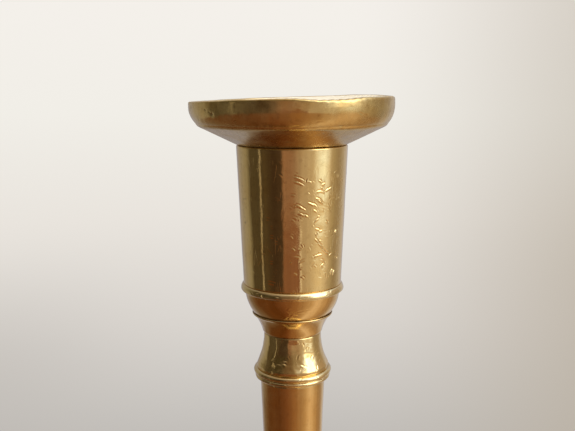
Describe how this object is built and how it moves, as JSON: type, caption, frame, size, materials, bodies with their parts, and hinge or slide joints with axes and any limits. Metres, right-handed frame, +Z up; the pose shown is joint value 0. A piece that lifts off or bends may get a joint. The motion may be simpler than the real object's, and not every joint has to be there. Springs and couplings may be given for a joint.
{
  "type": "candlestick",
  "caption": "Turned brass candlestick for one taper candle: a loose drip pan, a tapered socket, knops, a slender stem and a round hollow foot on a tie rod.",
  "frame": {"origin": "middle of the felt's underside, on the surface that the candlestick stands on", "axes": "+Z up, along the axis that every turned piece shares; X and Y are interchangeable"},
  "size_m": [0.112, 0.112, 0.25],
  "materials": {
    "pan_brass": "polished, worn and lightly pitted",
    "socket_brass": "polished, with dings and fine scratches",
    "ring_brass": "polished, with nicks",
    "knop_brass": "polished, tarnished in its grooves",
    "stem_brass": "polished",
    "foot_brass": "polished, worn",
    "steel": "plain, dull",
    "plate_steel": "plain sheet, dull",
    "felt": "wool felt"
  },
  "bodies": {
    "candlestick": {"candle_socket": "socket_brass", "socket_ring": "ring_brass", "ogee_cup": "knop_brass", "neck_collar": "knop_brass", "bell_knop": "knop_brass", "knop_ring": "ring_brass", "stem": "stem_brass", "stem_foot_ring": "ring_brass", "ball_knop": "knop_brass", "ball_foot_ring": "ring_brass", "trumpet": "stem_brass", "foot_ring": "ring_brass", "foot_dome": "foot_brass", "base_shell": "foot_brass", "tie_rod": "steel", "clamp_washer": "steel", "tie_nut": "steel", "bottom_plate": "plate_steel", "felt_pad": "felt"},
    "pan": {"drip_pan": "pan_brass", "pan_collar": "pan_brass"}
  },
  "joints": [
    {"name": "pan_lift", "type": "slide", "parent": "candlestick", "child": "pan", "axis": [0, 0, 1], "range_m": [0, 0.04]}
  ]
}
